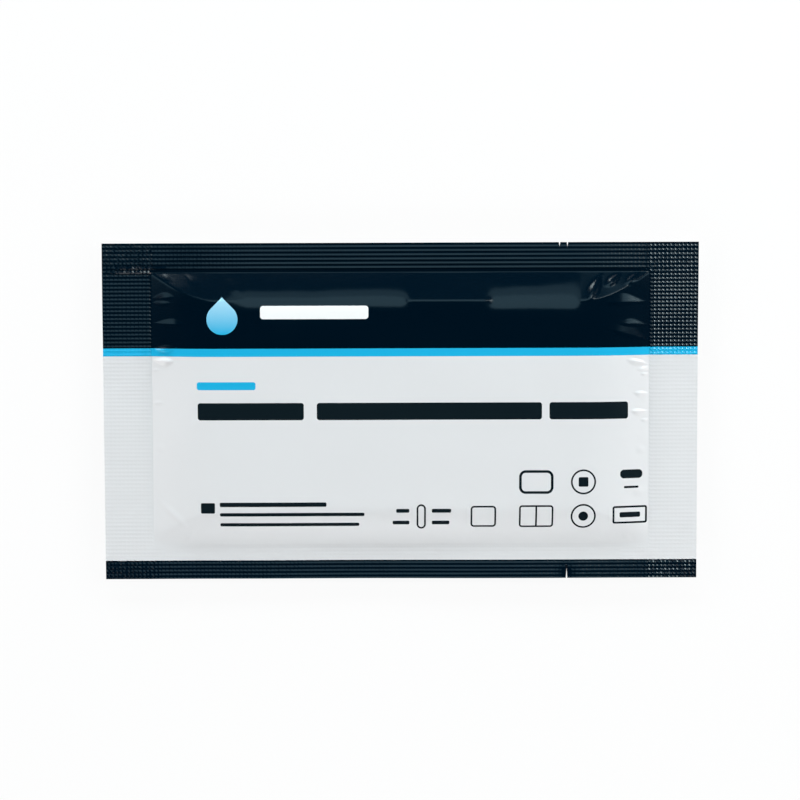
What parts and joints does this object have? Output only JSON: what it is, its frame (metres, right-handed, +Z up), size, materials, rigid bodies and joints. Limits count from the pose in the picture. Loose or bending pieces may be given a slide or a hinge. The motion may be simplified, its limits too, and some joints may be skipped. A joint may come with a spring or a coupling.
{
  "type": "sealed foil test pouch",
  "caption": "Flat rectangular foil pouch with ribbed heat-sealed margins, a low pillow over the sealed-in test device and tear nicks; keeps a rapid test dry until use.",
  "frame": {"origin": "under the centre of the pouch's outline, on the surface that it lies on", "axes": "+X along the long side, +Y up the printed front, +Z up out of the printed front"},
  "size_m": [0.135, 0.0766, 0.0054],
  "materials": {
    "printed_foil": "glossy printed foil laminate: dark navy header and foot, bright blue stripe, pale grey panel"
  },
  "bodies": {
    "root": {"foil_pouch": "printed_foil"}
  },
  "joints": []
}
